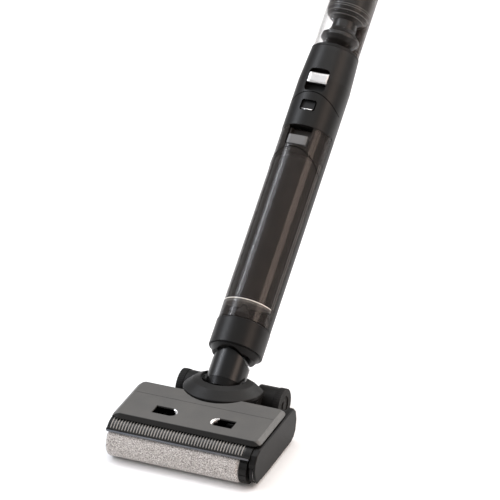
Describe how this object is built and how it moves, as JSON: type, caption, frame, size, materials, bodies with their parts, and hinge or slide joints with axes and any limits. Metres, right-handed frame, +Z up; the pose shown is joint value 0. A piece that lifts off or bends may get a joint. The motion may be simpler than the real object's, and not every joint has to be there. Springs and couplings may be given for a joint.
{
  "type": "wet dry floor scrubber",
  "caption": "Cordless floor washer: plush front roller under a grey plate, tilting neck, clear water tank on the wand, and a detachable hand vacuum on top.",
  "frame": {"origin": "on the floor, at the middle of the rubber squeegee's bottom edge under the head", "axes": "+X to the drive side (the right, seen from the front), +Y to the back, +Z up; the roller leads at -Y"},
  "size_m": [0.26, 1.0087, 0.7152],
  "materials": {
    "grey_plate": "fine satin moulded plastic",
    "black_plastic": "matte moulded plastic",
    "dark_plastic": "matte moulded plastic",
    "satin_black": "satin moulded plastic",
    "roller_fabric": "short plush microfibre",
    "clear_smoke": "clear smoked polycarbonate",
    "window_smoke": "ribbed smoked polycarbonate",
    "chrome": "polished chrome plating",
    "steel": "turned steel",
    "grey_accent": "satin grey plastic",
    "ring_plastic": "bright satin plastic ring",
    "dark_core": "dark inner moulding",
    "rubber": "soft rubber",
    "motor_metal": "motor can",
    "display_glass": "dark glossy display window"
  },
  "bodies": {
    "head": {"head_base": "black_plastic", "squeegee": "rubber", "suction_duct": "dark_plastic", "roller_scraper": "dark_plastic", "spray_bar": "dark_plastic", "base_screws": "steel", "side_cover": "dark_plastic", "roller_motor": "motor_metal", "drive_belt": "rubber", "roller_bearings": "steel", "rear_frame": "dark_plastic", "rear_axle": "steel", "tilt_pin": "steel", "neck_bezel": "dark_plastic"},
    "roller": {"roller_core": "dark_plastic", "roller_fabric": "roller_fabric", "roller_end_cap": "black_plastic", "roller_shaft": "steel"},
    "motor_rotor": {"motor_pulley": "steel"},
    "roller_cover": {"top_plate": "grey_plate", "roller_window": "window_smoke", "window_frame": "black_plastic", "latch_spring": "steel"},
    "left_latch": {"latch_left": "chrome"},
    "right_latch": {"latch_right": "chrome"},
    "left_wheel": {"wheel_left": "rubber"},
    "right_wheel": {"wheel_right": "rubber"},
    "neck": {"neck_body": "satin_black", "steer_pin": "steel"},
    "wand": {"wand_collar": "satin_black", "wand_spine": "black_plastic", "front_housing": "satin_black", "status_window": "display_glass", "water_pump": "motor_metal", "wand_socket": "satin_black", "release_spring": "steel"},
    "release": {"release_button": "chrome"},
    "water_tank": {"tank_shell": "clear_smoke", "tank_ring": "ring_plastic", "tank_core": "dark_core", "tank_cap": "clear_smoke", "tank_valve": "grey_accent", "tank_latch_spring": "steel"},
    "tank_catch": {"tank_latch": "grey_accent"},
    "hand_unit": {"dust_cup": "clear_smoke", "cup_lid": "black_plastic", "cyclone_skirt": "grey_accent", "cyclone_filter": "grey_accent", "cup_rail": "black_plastic", "motor_housing": "satin_black", "suction_motor": "motor_metal", "motor_filter": "roller_fabric", "display_panel": "display_glass", "hand_grip": "satin_black", "trigger_spring": "steel"},
    "fan": {"impeller": "grey_accent"},
    "trigger_lever": {"trigger": "grey_accent"},
    "power_key": {"power_button": "grey_accent"},
    "mode_key": {"mode_button": "grey_accent"},
    "battery": {"battery_pack": "dark_plastic"}
  },
  "joints": [
    {"name": "roller_spin", "type": "hinge", "parent": "head", "child": "roller", "pos_m": [0, -0.033, 0.0265], "axis": [1, 0, 0], "continuous": true},
    {"name": "motor_spin", "type": "hinge", "parent": "head", "child": "motor_rotor", "pos_m": [0, 0.034, 0.036], "axis": [1, 0, 0], "continuous": true},
    {"name": "left_wheel_spin", "type": "hinge", "parent": "head", "child": "left_wheel", "pos_m": [0, 0.1626, 0.0278], "axis": [1, 0, 0], "continuous": true},
    {"name": "right_wheel_spin", "type": "hinge", "parent": "head", "child": "right_wheel", "pos_m": [0, 0.1626, 0.0278], "axis": [1, 0, 0], "continuous": true},
    {"name": "cover_lift", "type": "slide", "parent": "head", "child": "roller_cover", "axis": [0, 0, 1], "range_m": [0, 0.06]},
    {"name": "left_latch_pinch", "type": "slide", "parent": "roller_cover", "child": "left_latch", "axis": [1, 0, 0], "range_m": [0, 0.004], "stiffness_N_per_m": 400, "springref_m": -0.003, "deforming": ["latch_spring"]},
    {"name": "right_latch_pinch", "type": "slide", "parent": "roller_cover", "child": "right_latch", "axis": [-1, 0, 0], "range_m": [0, 0.004], "stiffness_N_per_m": 400, "springref_m": -0.003},
    {"name": "wand_tilt", "type": "hinge", "parent": "head", "child": "neck", "pos_m": [0, 0.1288, 0.0654], "axis": [1, 0, 0], "range_deg": [-13.2, 51.8]},
    {"name": "wand_steer", "type": "hinge", "parent": "neck", "child": "wand", "pos_m": [0, 0.14137, 0.0753], "axis": [0, -0.6184, 0.7859], "range_deg": [-15, 15]},
    {"name": "release_press", "type": "slide", "parent": "wand", "child": "release", "axis": [0, 0.6184, -0.7859], "range_m": [0, 0.003], "stiffness_N_per_m": 900, "springref_m": -0.002, "deforming": ["release_spring"]},
    {"name": "tank_out", "type": "slide", "parent": "wand", "child": "water_tank", "axis": [0, -0.6184, 0.7859], "range_m": [0, 0.1]},
    {"name": "tank_latch_press", "type": "slide", "parent": "water_tank", "child": "tank_catch", "axis": [0, 0.6184, -0.7859], "range_m": [0, 0.0025], "stiffness_N_per_m": 900, "springref_m": -0.002, "deforming": ["tank_latch_spring"]},
    {"name": "hand_unit_off", "type": "slide", "parent": "wand", "child": "hand_unit", "axis": [0, 0.7859, 0.6184], "range_m": [0, 0.15]},
    {"name": "fan_spin", "type": "hinge", "parent": "hand_unit", "child": "fan", "pos_m": [0, 0.74214, 0.55569], "axis": [0, 0.7859, 0.6184], "continuous": true},
    {"name": "trigger_pull", "type": "slide", "parent": "hand_unit", "child": "trigger_lever", "axis": [0, -0.6184, 0.7859], "range_m": [0, 0.004], "stiffness_N_per_m": 600, "springref_m": -0.002, "deforming": ["trigger_spring"]},
    {"name": "power_press", "type": "slide", "parent": "hand_unit", "child": "power_key", "axis": [0, 0.6184, -0.7859], "range_m": [0, 0.001], "stiffness_N_per_m": 900, "springref_m": -0.001},
    {"name": "mode_press", "type": "slide", "parent": "hand_unit", "child": "mode_key", "axis": [0, 0.6184, -0.7859], "range_m": [0, 0.001], "stiffness_N_per_m": 900, "springref_m": -0.001},
    {"name": "battery_out", "type": "slide", "parent": "hand_unit", "child": "battery", "axis": [0, 0.6184, -0.7859], "range_m": [0, 0.06]}
  ],
  "couplings": [
    {"joint": "motor_spin", "follows": "roller_spin", "ratio": 2.375}
  ]
}
